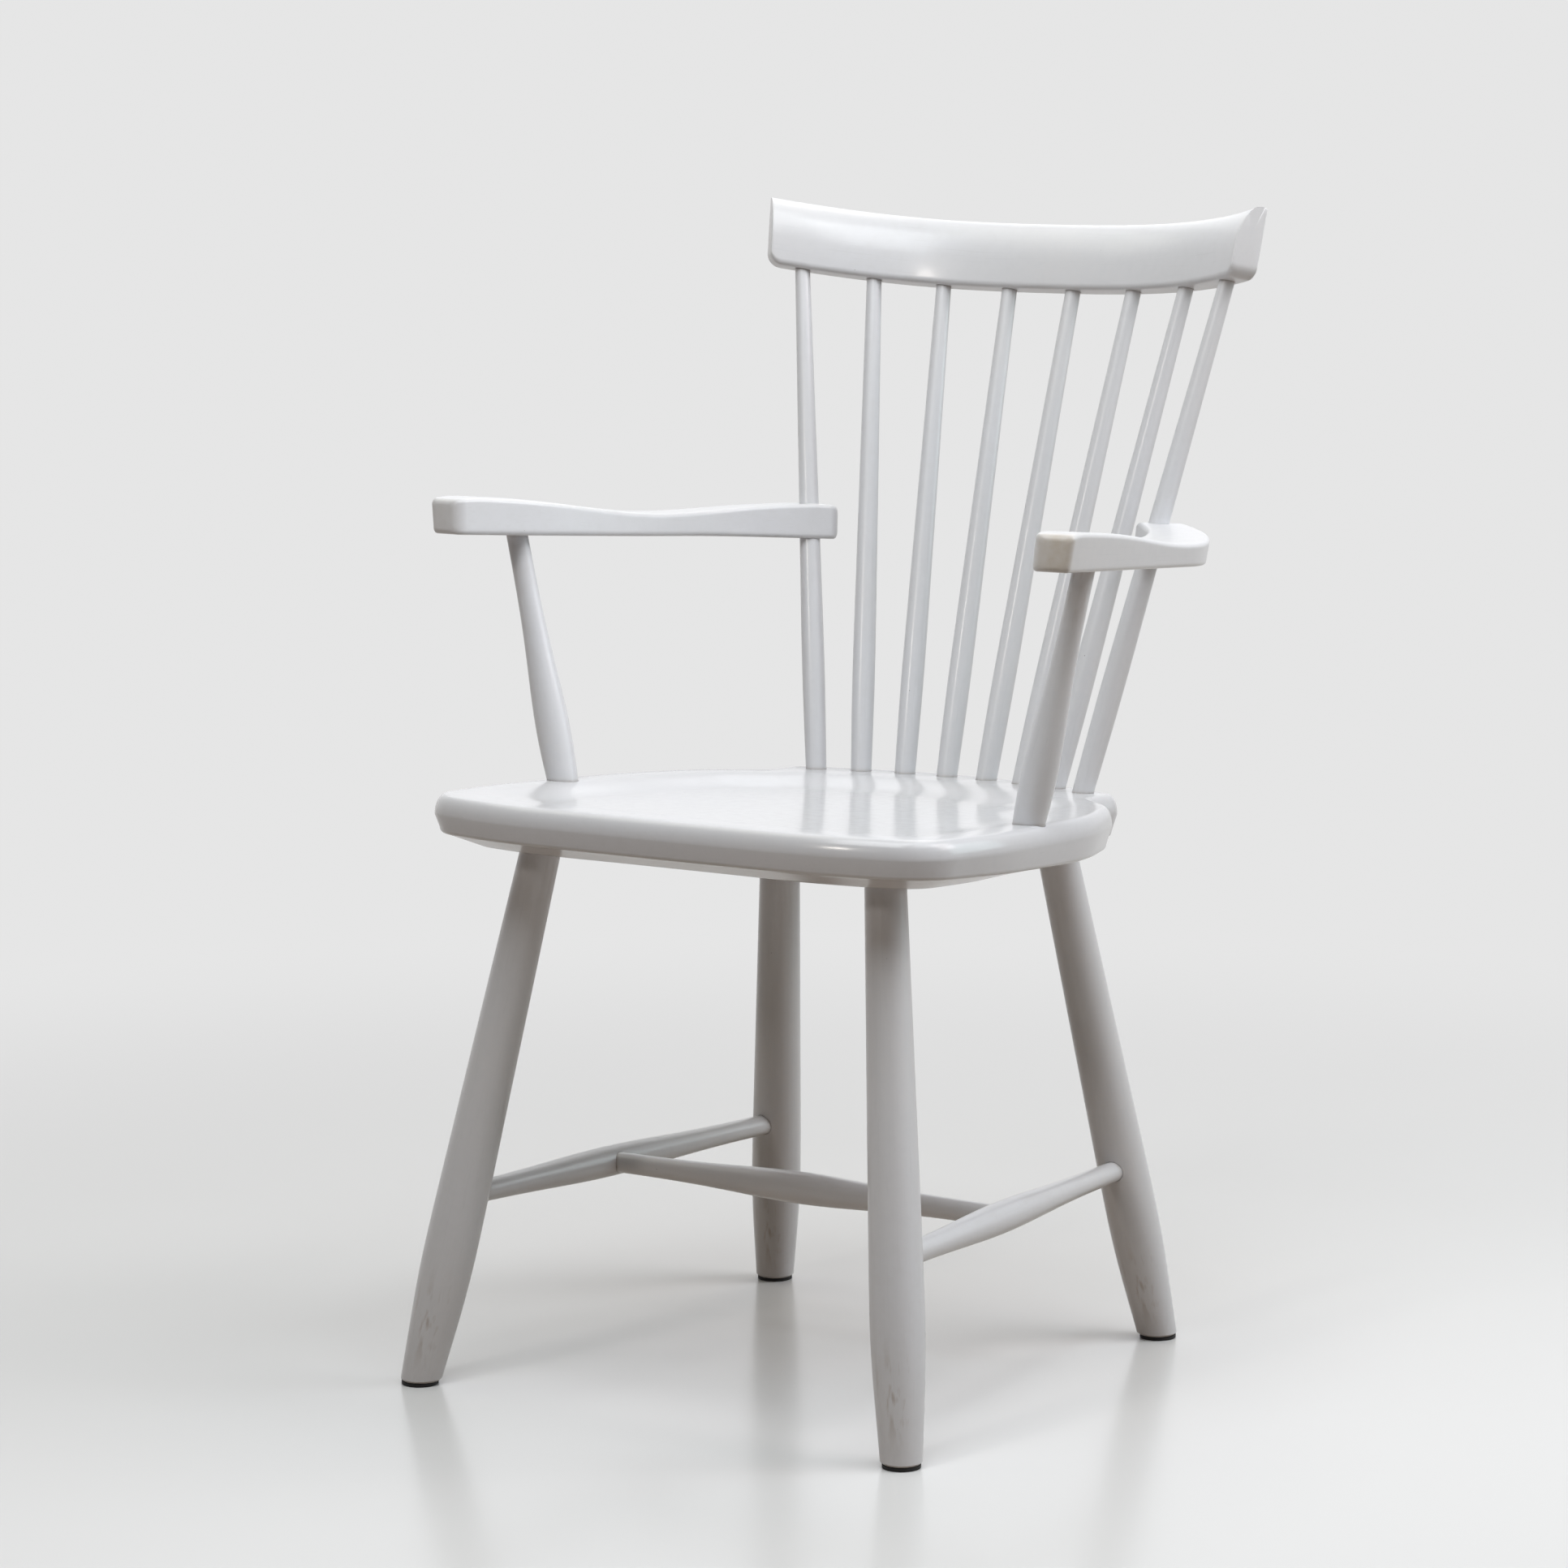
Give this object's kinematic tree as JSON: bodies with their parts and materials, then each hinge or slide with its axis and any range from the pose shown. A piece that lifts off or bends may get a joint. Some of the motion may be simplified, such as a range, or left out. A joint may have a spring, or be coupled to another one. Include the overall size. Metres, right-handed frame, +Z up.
{
  "type": "spindle back armchair",
  "caption": "Painted wooden armchair with a saddled seat, slim turned spindles under a curved crest rail, scooped bent arms on leaning posts, splayed turned legs and an H stretcher.",
  "frame": {"origin": "On the floor, under the middle of the chair's width and of its depth.", "axes": "+Z up, -Y towards the front of the chair, +X to the right as seen from in front."},
  "size_m": [0.5628, 0.5816, 0.8719],
  "materials": {
    "seat_lacquer": "cool grey-white lacquer over wood, semi gloss where it is sat on",
    "frame_lacquer": "cool grey-white lacquer over turned wood, satin, rubbed at the hand ends",
    "black_rubber": "matt black rubber",
    "nail_steel": "plain drawn steel"
  },
  "bodies": {
    "root": {"seat": "seat_lacquer", "crest_rail": "frame_lacquer", "spindle_1": "frame_lacquer", "spindle_2": "frame_lacquer", "spindle_3": "frame_lacquer", "spindle_4": "frame_lacquer", "spindle_5": "frame_lacquer", "spindle_6": "frame_lacquer", "spindle_7": "frame_lacquer", "spindle_8": "frame_lacquer", "arm_left": "frame_lacquer", "arm_right": "frame_lacquer", "arm_post_left": "frame_lacquer", "arm_post_right": "frame_lacquer", "leg_front_left": "frame_lacquer", "leg_front_right": "frame_lacquer", "leg_back_left": "frame_lacquer", "leg_back_right": "frame_lacquer", "side_stretcher_left": "frame_lacquer", "side_stretcher_right": "frame_lacquer", "cross_stretcher": "frame_lacquer", "glide_front_left": "black_rubber", "glide_front_right": "black_rubber", "glide_back_left": "black_rubber", "glide_back_right": "black_rubber", "glide_nail_front_left": "nail_steel", "glide_nail_front_right": "nail_steel", "glide_nail_back_left": "nail_steel", "glide_nail_back_right": "nail_steel"}
  },
  "joints": []
}
